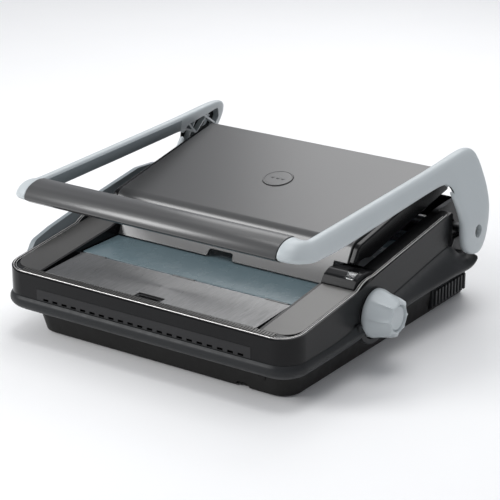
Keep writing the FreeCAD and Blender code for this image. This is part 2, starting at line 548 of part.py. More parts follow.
# ---- lid -----------------------------------------------------------------------------------------
def make_lid():
    outer = [(LID_FRONT, LID_FRONT_Z, 0.5), (LID_BEND, LID_BEND_Z, 16), (LID_REAR, LID_REAR_Z, 4), (399, 160, 3),
             (399, 153), (382, 150), (205, 116), (170, LID_FRONT_Z)]
    inner = [(161.8, 90), (LID_BEND + 2.4, LID_BEND_Z - 2.2, 14), (LID_REAR - 2, LID_REAR_Z - 3, 2), (396.5, 159, 2),
             (396.5, 140), (300, 90)]
    panel = side_profile(outer, -LID_HALF, LID_HALF).cut(side_profile(inner, -LID_HALF + 2.5, LID_HALF - 2.5))
    notch = front_profile([(-22, 80), (-17, 103, 3), (17, 103, 3), (22, 80)], 150, 178)
    panel = panel.cut(notch)
    for x0, x1 in ((-200, -LIP_HALF), (LIP_HALF, 200)):
        panel = panel.cut(box(x0, x1, 150, 194, 80, LID_CORNER_Z))
    for x0, x1 in ((-150, -120), (120, 150)):
        knuckle = along_x(HINGE_Y, HINGE_Z, 4, x0, x1).fuse(box(x0, x1, 397, 402, 153, 156))
        panel = panel.fuse(knuckle).cut(along_x(HINGE_Y, HINGE_Z, 2.07, x0 - 1, x1 + 1))
    badge_tilt = math.degrees(math.atan((LID_REAR_Z - LID_BEND_Z) / (LID_REAR - LID_BEND)))
    badge_z = LID_BEND_Z + (288 - LID_BEND) * math.tan(math.radians(badge_tilt))
    badge = Part.makeCylinder(19.5, 1.6, Vector(0, 0, -0.8)).cut(Part.makeCylinder(17.8, 1, Vector(0, 0, 0.3)))
    for x in (-8, 0, 8):
        badge = badge.fuse(Part.makeCylinder(2.6, 1.4, Vector(x, 0, -0.8)))
    badge.rotate(Vector(0, 0, 0), Vector(1, 0, 0), badge_tilt)
    badge.translate(Vector(0, 288, badge_z + 0.2))
    seat = Part.makeCylinder(19.5, 2.0, Vector(0, 0, -0.8))
    seat.rotate(Vector(0, 0, 0), Vector(1, 0, 0), badge_tilt)
    seat.translate(Vector(0, 288, badge_z + 0.2))
    add("lid_panel", panel.cut(seat).removeSplitter())
    add("lid_badge", badge)
    trim = [(174.5, LID_CORNER_Z + 0.5), (187, 141, 12), (391, 179, 6), (398.5, 160, 3), (398.5, 153), (382, 150),
            (212, 119), (200, LID_CORNER_Z + 0.5)]
    for name, x0 in (("lid_trim_left", -LID_HALF - 9), ("lid_trim_right", LID_HALF)):
        add(name, side_profile(trim, x0, x0 + 9))
    brackets = []
    for x0 in (-156, -118, 114, 152):
        ear = side_profile([(399.8, 138), (412, 138), (412, 146), (407.5, 154.6, 3), (399.8, 154.6, 3)], x0, x0 + 4)
        brackets.append(ear.cut(along_x(HINGE_Y, HINGE_Z, 2.0, x0 - 1, x0 + 5)))
    brackets = [bracket.cut(box(-200, 200, 396, 408.2, 100, 141.5)) for bracket in brackets]
    add("lid_hinge_brackets", group([bracket.cut(nodes["upper_casing"]) for bracket in brackets]))
    add("lid_hinge_pins", group([along_x(HINGE_Y, HINGE_Z, 2.0, x0, x0 + 42) for x0 in (-156, 114)]))


# ---- knob, chip tray, edge guide -------------------------------------------------------------------
def make_knob():
    profile = [(KNOB_X, 0), (KNOB_X, 29.5), (KNOB_X + 6, 29.5), (KNOB_X + 33, 20.8), (KNOB_X + 35, 19),
               (KNOB_X + 35, 15.5), (KNOB_X + 33.5, 15.2), (KNOB_X + 33.5, 0)]
    outline = Part.makePolygon([Vector(x, KNOB_Y, KNOB_Z + r) for x, r in profile + profile[:1]])
    body = Part.Face(outline).revolve(Vector(0, KNOB_Y, KNOB_Z), Vector(1, 0, 0), 360)
    grips = []
    for i in range(8):
        ridge = Part.makeBox(26, 2.4, 4.0, Vector(KNOB_X + 7.5, -1.2, 0))
        ridge.rotate(Vector(KNOB_X + 7.5, 0, 0), Vector(0, 1, 0), 17.5)
        ridge.translate(Vector(0, 0, 26.8))
        ridge.rotate(Vector(0, 0, 0), Vector(1, 0, 0), 45 * i + 10)
        ridge.translate(Vector(0, KNOB_Y, KNOB_Z))
        grips.append(ridge)
    body = body.multiFuse(grips).removeSplitter()
    add("knob", body.cut(along_x(KNOB_Y, KNOB_Z, 4, KNOB_X - 1, KNOB_X + 20)))
    cap = along_x(KNOB_Y, KNOB_Z, 14.8, KNOB_X + 33.5, KNOB_X + 34.6)
    add("knob_cap", cap)
    add("knob_shaft", along_x(KNOB_Y, KNOB_Z, 4, 168, KNOB_X + 20))
    wheel = along_x(KNOB_Y, KNOB_Z, 30, 186, 194).cut(along_x(KNOB_Y, KNOB_Z, 4, 180, 200))
    for i in range(6):
        angle = math.radians(60 * i)
        wheel = wheel.cut(along_x(KNOB_Y + 19 * math.cos(angle), KNOB_Z + 19 * math.sin(angle), 6, 180, 200))
    add("size_wheel", wheel)
    bush = along_x(KNOB_Y, KNOB_Z, 5, 174, 179).cut(along_x(KNOB_Y, KNOB_Z, 4.06, 170, 185))
    add("knob_bush", bush)
    bezel = along_x(KNOB_Y, KNOB_Z, BEZEL_R, BODY_HALF - WALL, BODY_HALF + 0.5)
    bezel = bezel.fuse(along_x(KNOB_Y, KNOB_Z, 7, BODY_HALF - WALL - 5, BODY_HALF - WALL))
    add("knob_bezel", bezel.cut(along_x(KNOB_Y, KNOB_Z, 4.06, 200, 220)))


def make_chip_tray():
    tray = box(-160, 183, TRAY_Y0, TRAY_Y1, TRAY_Z0, TRAY_Z1).cut(
        box(-158, 181, TRAY_Y0 + 2, TRAY_Y1 - 2, TRAY_Z0 + 2, TRAY_Z1 + 5))
    add("chip_tray", tray)
    block = box(183, 192, TRAY_Y0 - 1, TRAY_Y1 + 1, TRAY_Z0 + 1, TRAY_Z1)
    ribs = [box(192, 195.5, TRAY_Y0 + 2 + 8.2 * i, TRAY_Y0 + 6.5 + 8.2 * i, TRAY_Z0 + 3, TRAY_Z1 - 1)
            for i in range(10)]
    add("chip_tray_grip", fused([block] + ribs))
    rails = [box(-150, 178, y, y + 6, 4.2, TRAY_Z0 - GAP) for y in (362, 420)]
    add("tray_rails", group(rails))


def make_guides():
    guide = box(-155.5, -149, 300, 371, 0, 12)
    slope = -12.0 / 211.5
    guide.rotate(Vector(0, 300, 0), Vector(1, 0, 0), math.degrees(math.atan(slope)))
    guide.translate(Vector(0, 0, 93.0 + slope * (300 - 161) + 0.4))
    add("edge_guide", guide)


def make_case_screws():
    screws = []
    for x in (-150, -50, 50, 150):
        head = along_y(x, 70, 3.4, 446, 447.5)
        screws.append(head.fuse(along_y(x, 70, 1.6, 440.2, 446)))
    add("rear_screws", group(screws))
    body = nodes["mid_casing"]
    for x in (-150, -50, 50, 150):
        body = body.cut(along_y(x, 70, 1.6, 430, 450))
    nodes["mid_casing"] = body


def export():
    everything = Part.makeCompound(list(nodes.values())).BoundBox
    shift = Vector(-(everything.XMin + everything.XMax) / 2, -(everything.YMin + everything.YMax) / 2,
                   -everything.ZMin)
    os.makedirs("parts", exist_ok=True)
    for name, shape in nodes.items():
        placed = shape.copy()
        placed.translate(shift)
        placed.exportStep("parts/" + name + ".step")
    print("nodes", len(nodes), "shift", [round(v, 3) for v in shift])
    print("size", round(everything.XLength, 1), round(everything.YLength, 1), round(everything.ZLength, 1))


make_lower_casing()
make_middle_casing()
make_upper_casing()
make_deck()
make_window()
make_left_cover()
make_tray_and_flap()
make_comb_station()
make_punch()
make_frames()
make_handle()
make_lid()
make_knob()
make_chip_tray()
make_guides()
make_case_screws()
export()
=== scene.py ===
import json
import math

import bpy
from bpy.props import FloatProperty, FloatVectorProperty, IntProperty, PointerProperty
from mathutils import Matrix, Vector

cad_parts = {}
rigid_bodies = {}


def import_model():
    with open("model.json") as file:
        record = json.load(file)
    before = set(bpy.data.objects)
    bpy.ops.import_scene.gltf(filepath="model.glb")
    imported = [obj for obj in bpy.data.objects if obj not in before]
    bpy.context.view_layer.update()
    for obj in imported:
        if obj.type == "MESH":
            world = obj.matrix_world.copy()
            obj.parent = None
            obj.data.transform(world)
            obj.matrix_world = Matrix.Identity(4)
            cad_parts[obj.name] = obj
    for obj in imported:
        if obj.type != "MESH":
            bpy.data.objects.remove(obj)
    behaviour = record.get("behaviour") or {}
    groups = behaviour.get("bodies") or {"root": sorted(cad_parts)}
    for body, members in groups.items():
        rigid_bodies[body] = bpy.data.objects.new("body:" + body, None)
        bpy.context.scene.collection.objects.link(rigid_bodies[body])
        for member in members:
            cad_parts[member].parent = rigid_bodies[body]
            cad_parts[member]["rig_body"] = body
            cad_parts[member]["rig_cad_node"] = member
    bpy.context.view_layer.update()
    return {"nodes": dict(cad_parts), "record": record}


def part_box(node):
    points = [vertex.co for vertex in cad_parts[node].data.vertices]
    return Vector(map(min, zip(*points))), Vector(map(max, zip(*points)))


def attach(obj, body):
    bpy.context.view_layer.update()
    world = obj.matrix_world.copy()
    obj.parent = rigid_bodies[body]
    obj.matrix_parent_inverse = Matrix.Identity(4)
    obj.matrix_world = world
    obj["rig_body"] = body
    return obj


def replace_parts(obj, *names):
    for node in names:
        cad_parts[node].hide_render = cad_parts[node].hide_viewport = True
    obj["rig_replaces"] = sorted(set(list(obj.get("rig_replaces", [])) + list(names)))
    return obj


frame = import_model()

bl_info = {
    "name": "Comb Binder Looks",
    "version": (1, 0, 0),
    "blender": (4, 5, 0),
    "location": "View3D > Sidebar > Comb Binder",
    "description": "Shells, levers, dial and finishes of a desktop comb binding machine",
    "category": "Object",
}

# Places are given in millimetres from the middle of the machine's front face, at table height.
MM = 0.001
MIDDLE_X = sum(corner.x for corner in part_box("lid_panel")) / 2
FRONT_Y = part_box("upper_casing")[0].y

# outlines and heights that several pieces share
CORNER = (182.0, 30.0)               # centre of a front corner in plan
CORNER_R = 30.0
BODY_HALF = 212.0
BAND_BOTTOM = 57.0
PIVOT = (394.5, 108.0)               # handle axis, (y, z)
KNOB_AXIS = (172.5, 69.0)            # dial axis, (y, z)
TOP_LINE = ((0, 88.2), (139.5, 104.9), (148, 109.5), (156, 112.6), (168, 113.4), (177, 113.2), (352, 138.2))
# outer face of an arm, (x, z): upright beside the pivot, and leaning inward above it
ARM_FACE = ((231, 60), (231, 112), (229.5, 126), (225, 140), (218.5, 154), (212, 167), (206, 181), (201, 197),
            (197, 210))
BAR_END = 181.0                      # the crossbar meets the arms here
ARC_STEPS = 7                        # straight steps in a rounded corner of an outline
MERGE_NEW = 1e-6                     # metres: closest vertices of a new piece that stay apart
MERGE_COPIED = 2e-6                  # the same in a copy of a carried-over part
FLAT_ANGLE = math.radians(0.2)       # faces of a copy that turn less than this become one


def place(x, y, z):
    """A place in millimetres from the middle of the front face, in the row frame."""
    return Vector((MIDDLE_X + x * MM, FRONT_Y + y * MM, z * MM))


def between(stations, value):
    """Straight-line reading of (place, height) pairs at a place."""
    low = stations[0]
    for high in stations[1:]:
        if value <= high[0]:
            break
        low = high
    span = high[0] - low[0]
    share = min(1.0, max(0.0, (value - low[0]) / span)) if span else 0.0
    return low[1] + (high[1] - low[1]) * share


def arm_face_x(z):
    return between([(height, x) for x, height in ARM_FACE], z)


def deck_z(y):
    return between(TOP_LINE, y)


# ---- working in edit mode ----------------------------------------------------------------------
def deselect():
    if bpy.context.mode != "OBJECT":
        bpy.ops.object.mode_set(mode="OBJECT")
    bpy.ops.object.select_all(action="DESELECT")


def activate(piece):
    deselect()
    piece.select_set(True)
    bpy.context.view_layer.objects.active = piece


def edit(piece, mode="VERT"):
    activate(piece)
    bpy.ops.object.mode_set(mode="EDIT")
    bpy.ops.mesh.select_mode(type=mode)
    bpy.ops.mesh.select_all(action="SELECT")


def close_edit():
    bpy.ops.object.mode_set(mode="OBJECT")


def modify(piece, kind, **settings):
    """Adds a modifier with these settings and applies it."""
    activate(piece)
    modifier = piece.modifiers.new(kind.lower(), kind)
    for key, value in settings.items():
        setattr(modifier, key, value)
    bpy.ops.object.modifier_apply(modifier=modifier.name)
    return piece


def soften(piece, width, segments=3, angle=32):
    """Rounds the sharp edges of a piece."""
    return modify(piece, "BEVEL", width=width * MM, segments=segments, limit_method="ANGLE",
                  angle_limit=math.radians(angle), use_clamp_overlap=False, miter_outer="MITER_ARC")


def carve(piece, cutter):
    """Cuts one closed piece out of another and throws the cutter away."""
    modify(piece, "BOOLEAN", operation="DIFFERENCE", solver="EXACT", object=cutter)
    bpy.data.objects.remove(cutter)
    return piece


def join(name, pieces):
    activate(pieces[0])
    for piece in pieces[1:]:
        piece.select_set(True)
    if len(pieces) > 1:
        bpy.ops.object.join()
    joined = bpy.context.object
    joined.name = name
    return joined


def face_outwards(piece):
    edit(piece)
    bpy.ops.mesh.remove_doubles(threshold=MERGE_NEW)
    bpy.ops.mesh.normals_make_consistent(inside=False)
    close_edit()


def rounded(points):
    """The outline with an arc at each point that has a radius: (a, b) or (a, b, radius)."""
    dense = []
    count = len(points)
    for i, point in enumerate(points):
        here = Vector(point[:2])
        if len(point) < 3:
            dense.append(here)
            continue
        to_before = (Vector(points[i - 1][:2]) - here).normalized()
        to_after = (Vector(points[(i + 1) % count][:2]) - here).normalized()
        half = to_before.angle(to_after) / 2
        middle = here + (to_before + to_after).normalized() * (point[2] / math.sin(half))
        start = here + to_before * (point[2] / math.tan(half)) - middle
        end = here + to_after * (point[2] / math.tan(half)) - middle
        for step in range(ARC_STEPS + 1):
            dense.append(middle + start.slerp(end, step / ARC_STEPS).normalized() * point[2])
    return dense


AXES = {"X": lambda along, a, b: place(along, a, b), "Y": lambda along, a, b: place(a, along, b),
        "Z": lambda along, a, b: place(a, b, along)}


def slab(name, points, axis, low, high):
    """An outline across an axis, filled and extruded along that axis."""
    outline = rounded(points)
    deselect()
    bpy.ops.mesh.primitive_circle_add(vertices=len(outline), radius=MM)
    piece = bpy.context.object
    piece.name = name
    for vertex, (a, b) in zip(piece.data.vertices, outline):
        vertex.co = AXES[axis](low, a, b)
    edit(piece)
    bpy.ops.mesh.edge_face_add()
    travel = AXES[axis](high, 0, 0) - AXES[axis](low, 0, 0)
    bpy.ops.mesh.extrude_region_move(TRANSFORM_OT_translate={"value": travel})
    close_edit()
    face_outwards(piece)
    return piece


def block(name, x, y, z):
    """A box between two places on each axis."""
    deselect()
    centre = place(sum(x) / 2, sum(y) / 2, sum(z) / 2)
    bpy.ops.mesh.primitive_cube_add(size=1, location=centre)
    piece = bpy.context.object
    piece.name = name
    piece.scale = ((x[1] - x[0]) * MM, (y[1] - y[0]) * MM, (z[1] - z[0]) * MM)
    bpy.ops.object.transform_apply(location=True, rotation=True, scale=True)
    return piece


def rod(name, centre, radius, x0, x1, sides=48):
    """A round bar along X through (y, z)."""
    deselect()
    middle = place((x0 + x1) / 2, *centre)
    bpy.ops.mesh.primitive_cylinder_add(vertices=sides, radius=radius * MM, depth=abs(x1 - x0) * MM,
                                        location=middle, rotation=(0, math.pi / 2, 0))
    piece = bpy.context.object
    piece.name = name
    bpy.ops.object.transform_apply(location=True, rotation=True, scale=True)
    return piece


def loft(name, rings, closed, caps=(False, False)):
    """A grid laid over rings of places, each with the same number of points."""
    across = len(rings[0]) - (0 if closed else 1)
    deselect()
    bpy.ops.mesh.primitive_grid_add(x_subdivisions=across, y_subdivisions=len(rings) - 1, size=MM)
    piece = bpy.context.object
    piece.name = name
    width = across + 1
    for row, ring in enumerate(rings):
        for column in range(width):
            piece.data.vertices[row * width + column].co = ring[column % len(ring)]
    ends = (range(width), range(row * width, (row + 1) * width))
    for cap, end in zip(caps, ends):
        if not cap:
            continue
        edit(piece)
        bpy.ops.mesh.select_all(action="DESELECT")
        close_edit()
        for index in end:
            piece.data.vertices[index].select = True
        bpy.ops.object.mode_set(mode="EDIT")
        bpy.ops.mesh.edge_face_add()
        close_edit()
    return piece


def mirror_copy(piece, name):
    """The same piece on the other side of the machine, with its own mesh."""
    activate(piece)
    bpy.ops.object.duplicate()
    copy = bpy.context.object
    copy.name = name
    flip = Matrix.Translation((2 * MIDDLE_X, 0, 0)) @ Matrix.Diagonal((-1, 1, 1, 1))
    copy.data.transform(flip)
    edit(copy)
    bpy.ops.mesh.flip_normals()
    close_edit()
    return copy


def traced(node, name):
    """A merged copy of a carried-over part, with its flat faces whole again."""
    activate(frame["nodes"][node])
    bpy.ops.object.duplicate()
    piece = bpy.context.object
    bpy.ops.object.parent_clear(type="CLEAR_KEEP_TRANSFORM")
    piece.name = name
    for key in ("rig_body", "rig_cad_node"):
        del piece[key]
    edit(piece)
    bpy.ops.mesh.remove_doubles(threshold=MERGE_COPIED)
    bpy.ops.mesh.dissolve_limited(angle_limit=FLAT_ANGLE)
    close_edit()
    if piece.data.has_custom_normals:
        bpy.ops.mesh.customdata_custom_splitnormals_clear()
    return piece


def finish_piece(piece, body, slot_name, nodes=(), smooth=35, finish=None, flat_faces=True):
    """Gives a piece its finish, its body and the parts that it stands for."""
    activate(piece)
    bpy.ops.object.shade_smooth_by_angle(angle=math.radians(smooth))
    if flat_faces:
        modify(piece, "WEIGHTED_NORMAL", mode="FACE_AREA", weight=50, keep_sharp=True)
    piece.data.materials.clear()
    piece.data.materials.append(finish or finish_of(slot_name))
    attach(piece, body)
    if nodes:
        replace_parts(piece, *nodes)
    return piece


# ---- finishes ----------------------------------------------------------------------------------
class Paint:
    """A material in the making: a principled shader and the patterns that drive it."""

    def __init__(self, name, colour, roughness, metallic=0.0, **sockets):
        self.material = bpy.data.materials.new("finish_" + name)
        self.material.use_nodes = True
        self.nodes = self.material.node_tree.nodes
        self.links = self.material.node_tree.links
        self.shader = self.nodes["Principled BSDF"]
        self.colour = colour
        self.set("Base Color", (*colour, 1.0))
        self.set("Roughness", roughness)
        self.set("Metallic", metallic)
        for socket, value in sockets.items():
            self.set(socket.replace("_", " "), value)
        self.normal = None

    def set(self, socket, value):
        self.shader.inputs[socket].default_value = value

    def noise(self, scale, detail=3.0, stretch=(1, 1, 1)):
        """A noise in the piece's own coordinates; scale is in bumps per metre."""
        coordinates = self.nodes.new("ShaderNodeTexCoord")
        mapping = self.nodes.new("ShaderNodeMapping")
        mapping.inputs["Scale"].default_value = stretch
        texture = self.nodes.new("ShaderNodeTexNoise")
        texture.inputs["Scale"].default_value = scale
        texture.inputs["Detail"].default_value = detail
        self.links.new(coordinates.outputs["Object"], mapping.inputs["Vector"])
        self.links.new(mapping.outputs["Vector"], texture.inputs["Vector"])
        return texture.outputs["Fac"]

    def ramp(self, source, low, high, dark, light):
        """Reads a pattern between two of its values as two colours or greys."""
        ramp = self.nodes.new("ShaderNodeValToRGB")
        ends = ramp.color_ramp.elements
        ends[0].position, ends[1].position = low, high
        ends[0].color, ends[1].color = (*dark, 1.0), (*light, 1.0)
        self.links.new(source, ramp.inputs["Fac"])
        return ramp.outputs["Color"]

    def mottle(self, scale, amount, stretch=(1, 1, 1)):
        """Faint cloudy change of the base colour."""
        dark = tuple(c * (1 - amount) for c in self.colour)
        light = tuple(min(1.0, c * (1 + amount)) for c in self.colour)
        colour = self.ramp(self.noise(scale, 4.0, stretch), 0.3, 0.7, dark, light)
        self.links.new(colour, self.shader.inputs["Base Color"])
        return self

    def polish(self, scale, low, high, stretch=(1, 1, 1)):
        """Roughness that drifts between two values."""
        grey = self.ramp(self.noise(scale, 3.0, stretch), 0.3, 0.7, (low,) * 3, (high,) * 3)
        self.links.new(grey, self.shader.inputs["Roughness"])
        return self

    def grain(self, scale, depth, detail=2.0, stretch=(1, 1, 1)):
        """Moulded or brushed texture, depth in millimetres."""
        bump = self.nodes.new("ShaderNodeBump")
        bump.inputs["Distance"].default_value = depth * MM
        self.links.new(self.noise(scale, detail, stretch), bump.inputs["Height"])
        if self.normal:
            self.links.new(self.normal, bump.inputs["Normal"])
        self.normal = bump.outputs["Normal"]
        self.links.new(self.normal, self.shader.inputs["Normal"])
        return self


def gloss_black(colours):
    paint = Paint("gloss_black", colours.gloss_black, 0.24, Specular_IOR_Level=0.2)
    paint.mottle(14, 0.12).polish(6, 0.23, 0.26)
    return paint.grain(1500, 0.003).material


def grey_casing(colours):
    paint = Paint("grey_casing", colours.grey_casing, 0.42, Specular_IOR_Level=0.25)
    paint.mottle(10, 0.07).polish(120, 0.38, 0.47)
    return paint.grain(2600, 0.02).material


def dark_base(colours):
    paint = Paint("dark_base", colours.dark_base, 0.5, Specular_IOR_Level=0.25)
    paint.mottle(9, 0.09).polish(90, 0.45, 0.58)
    return paint.grain(2200, 0.03).grain(300, 0.02).material


def slot_grey(colours):
    paint = Paint("slot_grey", colours.slot, 0.45, Specular_IOR_Level=0.25)
    return paint.mottle(12, 0.08).grain(2200, 0.02).material


def graphite_shell(colours):
    paint = Paint("graphite_shell", colours.graphite, 0.31, metallic=0.5)
    paint.mottle(1200, 0.03).polish(5, 0.3, 0.32)
    return paint.grain(2400, 0.0008).material


def deck_grey(colours):
    paint = Paint("deck_grey", colours.deck, 0.27, metallic=0.35)
    paint.mottle(1500, 0.06).polish(9, 0.26, 0.3)
    return paint.grain(2400, 0.004).material


def silver_edge(colours):
    paint = Paint("silver_edge", colours.silver, 0.28, metallic=0.9)
    return paint.mottle(300, 0.1).grain(2500, 0.006).material


def arm_grey(colours):
    paint = Paint("arm_grey", colours.arm, 0.4, Specular_IOR_Level=0.5)
    paint.mottle(7, 0.035).polish(100, 0.36, 0.45)
    return paint.grain(2800, 0.012).material


def insert_grey(colours):
    paint = Paint("insert_grey", colours.insert, 0.45, Specular_IOR_Level=0.45)
    paint.mottle(9, 0.05).polish(80, 0.42, 0.52)
    return paint.grain(2400, 0.02).material


def brushed_flap(colours):
    paint = Paint("brushed_flap", colours.flap, 0.33, metallic=0.8, Anisotropic=0.5)
    paint.mottle(900, 0.16, stretch=(1, 0.02, 1)).polish(700, 0.27, 0.42, stretch=(1, 0.03, 1))
    return paint.grain(1400, 0.01, stretch=(1, 0.02, 1)).material


def tray_teal(colours):
    paint = Paint("tray_teal", colours.teal, 0.26, Specular_IOR_Level=0.5)
    paint.mottle(8, 0.06).polish(50, 0.22, 0.3)
    return paint.grain(1500, 0.008).material


def clear_window(colours):
    paint = Paint("clear_window", (0.95, 0.96, 0.96), 0.06, Transmission_Weight=1.0, IOR=1.49)
    return paint.grain(500, 0.004).material


def steel(colours):
    paint = Paint("steel", (0.5, 0.5, 0.51), 0.32, metallic=1.0)
    return paint.mottle(220, 0.15).grain(1800, 0.01, stretch=(1, 0.1, 1)).material


def screw_steel(colours):
    paint = Paint("screw_steel", (0.58, 0.57, 0.54), 0.25, metallic=1.0)
    return paint.mottle(800, 0.2).grain(2500, 0.008).material


def white_nylon(colours):
    paint = Paint("white_nylon", (0.78, 0.78, 0.75), 0.42, Subsurface_Weight=0.1)
    return paint.mottle(30, 0.05).grain(1800, 0.015).material


def rubber(colours):
    paint = Paint("rubber", (0.02, 0.02, 0.02), 0.75)
    return paint.mottle(200, 0.3).grain(2000, 0.05).material


FINISHES = (gloss_black, grey_casing, dark_base, slot_grey, graphite_shell, deck_grey, silver_edge, arm_grey,
            insert_grey, brushed_flap, tray_teal, clear_window, steel, screw_steel, white_nylon, rubber)


def finish_of(name):
    """The finish with this name, made the first time that it is asked for."""
    if "finish_" + name not in bpy.data.materials:
        maker = {finish.__name__: finish for finish in FINISHES}[name]
        maker(bpy.context.scene.binder_colours)
    return bpy.data.materials["finish_" + name]


def colour(name, description, default):
    return FloatVectorProperty(name=name, description=description, default=default, size=3, min=0.0, max=1.0,
                               subtype="COLOR")


def length(name, description, default):
    return FloatProperty(name=name, description=description, default=default, unit="LENGTH")


class BinderColours(bpy.types.PropertyGroup):
    """Colours of the mouldings."""
    gloss_black: colour("Gloss black", "Upper casing and front band", (0.005, 0.005, 0.0055))
    grey_casing: colour("Belt grey", "Belt and wings round the machine", (0.016, 0.0172, 0.0185))
    dark_base: colour("Base grey", "Lower tub", (0.013, 0.0125, 0.012))
    slot: colour("Slot plate", "Slotted plate in the front band", (0.02, 0.02, 0.021))
    graphite: colour("Graphite", "Lid and crossbar", (0.1, 0.1, 0.1))
    deck: colour("Deck grey", "Flat inlays beside the recess", (0.085, 0.083, 0.079))
    # this silver paints the highlight lines along the deck's edge
    silver: colour("Silver", "Thin bead round the deck", (0.5, 0.49, 0.48))
    arm: colour("Arm grey", "Handle arms and dial", (0.50, 0.54, 0.555))
    insert: colour("Insert grey", "Plates inside the arms and the left cover", (0.23, 0.26, 0.275))
    flap: colour("Flap grey", "Brushed flap over the comb station", (0.19, 0.19, 0.19))
    teal: colour("Tray teal", "Sheet tray", (0.115, 0.165, 0.185))


class BinderSizes(bpy.types.PropertyGroup):
    """Sizes that shape the remade pieces."""
    wall: length("Wall", "Wall of the belt and wings", 0.0022)
    bead: length("Bead", "Radius of the thin bead round the deck", 0.0008)
    arm_thickness: length("Arm thickness", "Across an arm of the handle", 0.0145)
    arm_edge: length("Arm edge", "How far an arm's edge is rounded", 0.0042)
    lid_edge: length("Lid edge", "Radius on the lid's side edges", 0.0009)
    rail_edge: length("Rail edge", "Radius on the lid's side rails", 0.0024)
    dial_base: length("Dial base", "Radius of the dial at its skirt", 0.0295)
    dial_face: length("Dial face", "Radius of the dial at its end", 0.0196)
    dial_ridges: IntProperty(name="Dial ridges", description="Finger ridges round the dial", default=8, min=3)
    ridge_height: length("Ridge height", "How far a dial ridge stands out at the end", 0.0034)


# ---- lower mouldings ---------------------------------------------------------------------------
def base_tub_piece():
    tub = soften(traced("base_tub", "base_shell"), 1.1)
    return finish_piece(tub, "chassis", "dark_base", ["base_tub"])


# along the side: y, seam height, lip (x, z), height of the underside by the base
WING = ((30, 57.0, 216.2, 48.0, 33.0), (65, 57.0, 216.3, 48.2, 33.0), (92, 57.1, 216.4, 48.6, 33.5),
        (122, 61.0, 216.6, 49.8, 34.2), (160, 67.0, 217.0, 51.5, 34.6), (200, 73.4, 217.6, 54.2, 35.4),
        (240, 79.8, 219.0, 57.5, 41.0), (280, 86.6, 221.6, 60.6, 48.5), (315, 92.2, 225.0, 63.2, 51.0),
        (340, 96.0, 227.4, 65.0, 53.0), (352, 97.6, 228.3, 65.4, 54.0), (362, 92.4, 228.9, 65.2, 54.6),
        (370, 85.6, 229.3, 64.9, 55.0), (378, 79.6, 229.6, 64.8, 55.4), (386, 76.0, 229.8, 65.2, 55.8),
        (394, 74.6, 229.6, 66.8, 56.2), (400, 75.0, 229.0, 69.2, 56.6), (404, 75.6, 228.0, 71.6, 57.0))
LEG_WALL = 199.0                     # the shelf under the leg starts here
BASE_CORNER = (162.0, 59.0, 28.0)    # the base's rounded corner in plan: centre and radius


def slope_points(top, lip, bend):
    """Two places on the slope between the seam and the lip: bend under 1 bulges, over 1 is hollow."""
    return [(top[0] + (lip[0] - top[0]) * share ** bend, top[1] + (lip[1] - top[1]) * share)
            for share in (0.34, 0.68)]


def wing_ring(side, y, seam, lip_x, lip_z, under_z):
    bend = 0.5 + 1.7 * min(1.0, max(0.0, (y - 60) / 240))
    start = 210.4 if y < 356 else LEG_WALL
    base_x = 186.5 + 5.0 * under_z / 34.0
    top, lip = (213.0, seam - 0.7), (lip_x, lip_z + 2.6)
    section = [(start, seam), (212.7, seam), top, *slope_points(top, lip, bend), lip, (lip_x, lip_z - 2.2),
               (lip_x - 4.4, lip_z - 7.0), (202.5, under_z + 2.2), (base_x, under_z)]
    return [place(side * x, y, z) for x, z in section]


def front_section():
    top, lip = (1.0, BAND_BOTTOM - 0.7), (4.2, 50.6)
    return [(-1.6, BAND_BOTTOM), (0.7, BAND_BOTTOM), top, *slope_points(top, lip, 0.5), lip, (4.2, 45.8),
            (-0.2, 41.0), (-9.5, 35.2), (-27.5, 33.0)]


def belt_piece(sizes):
    """The belt along the front, round the corners and back along both sides as the wings."""
    side_rings = [wing_ring(1, *station) for station in WING]
    corner_rings = []
    for degrees in (78, 58, 38, 18, 4):
        turn = math.radians(degrees)
        ring = [place(CORNER[0] + (CORNER_R + out) * math.sin(turn), CORNER[1] - (CORNER_R + out) * math.cos(turn), z)
                for out, z in front_section()[:-1]]
        ring.append(place(BASE_CORNER[0] + BASE_CORNER[2] * math.sin(turn),
                          BASE_CORNER[1] - BASE_CORNER[2] * math.cos(turn), front_section()[-1][1]))
        corner_rings.append(ring)
    front_rings = [[place(x, -out, z) for out, z in front_section()] for x in (165, 100, 40)]
    right = list(reversed(side_rings)) + corner_rings + front_rings
    flip = Vector((2 * MIDDLE_X, 0, 0))
    left = [[Vector((flip.x - p.x, p.y, p.z)) for p in ring] for ring in reversed(right)]
    belt = loft("belt_and_wings", right + left, closed=False, caps=(True, True))
    edit(belt)
    bpy.ops.mesh.normals_make_consistent(inside=False)
    close_edit()
    front = min(belt.data.polygons, key=lambda face: face.center.y)
    if front.normal.y > 0:
        belt.data.flip_normals()
    modify(belt, "SUBSURF", levels=2, render_levels=2)
    modify(belt, "SOLIDIFY", thickness=sizes.wall, offset=-1.0, use_even_offset=False)
    return finish_piece(belt, "chassis", "grey_casing", ["mid_casing"], smooth=40, flat_faces=False)


